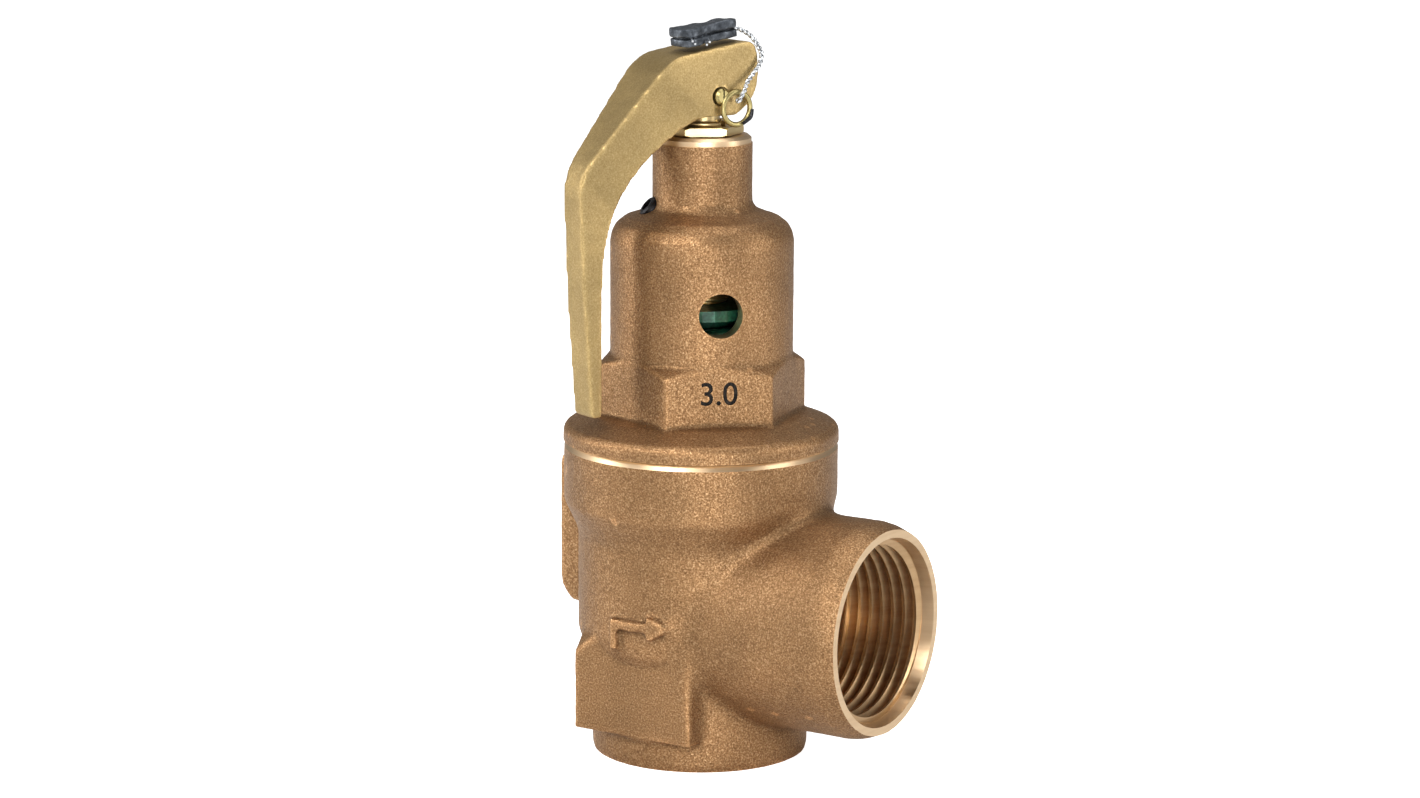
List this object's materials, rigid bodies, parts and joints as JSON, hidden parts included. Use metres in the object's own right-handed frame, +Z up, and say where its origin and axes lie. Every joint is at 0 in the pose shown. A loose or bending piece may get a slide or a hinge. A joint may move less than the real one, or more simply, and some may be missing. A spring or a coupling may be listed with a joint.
{
  "type": "pressure relief valve",
  "caption": "Angle-pattern bronze pressure relief valve with threaded ports, hexagon bonnet, hand easing lever, split pin and wire seal.",
  "frame": {"origin": "centre of the inlet face, where the inlet thread's axis meets it", "axes": "+Z up along the valve's axis from inlet to lever, +X out along the outlet's axis"},
  "size_m": [0.0507, 0.0405, 0.1038],
  "materials": {
    "cast_bronze": "sand-cast gunmetal, fine grain, satin",
    "machined_brass": "turned, bright",
    "lever_brass": "forged and tumbled, matte",
    "black_oxide": "black oxide",
    "rubber": "moulded, matte",
    "stainless": "bright",
    "white_seal": "matte",
    "spring_green": "dark green coating",
    "lead": "crimped lead, dull",
    "seal_wire": "galvanised twisted wire"
  },
  "bodies": {
    "valve": {"body": "cast_bronze", "bonnet": "cast_bronze", "lock_screw": "black_oxide", "adjusting_screw": "machined_brass", "locknut": "machined_brass", "diaphragm": "rubber", "slip_ring": "stainless", "spring": "spring_green", "upper_spring_plate": "spring_green"},
    "spindle_unit": {"spindle": "machined_brass", "disc_holder": "machined_brass", "disc_seal": "white_seal", "seal_washer": "stainless", "disc_screw": "stainless", "diaphragm_washer": "stainless", "lower_spring_plate": "machined_brass"},
    "lever_unit": {"lever": "lever_brass", "split_pin": "machined_brass", "lead_seal": "lead", "seal_wire": "seal_wire"}
  },
  "joints": [
    {"name": "spindle_lift", "type": "slide", "parent": "valve", "child": "spindle_unit", "axis": [0, 0, 1], "range_m": [0, 0.003], "deforming": ["spring", "diaphragm"]},
    {"name": "lever_pivot", "type": "hinge", "parent": "spindle_unit", "child": "lever_unit", "pos_m": [0, 0, 0.09358], "axis": [-0.9272, 0.3746, 0], "range_deg": [0, 90]}
  ],
  "couplings": [
    {"joint": "lever_pivot", "follows": "spindle_lift", "rad_per_m": 523.5}
  ]
}
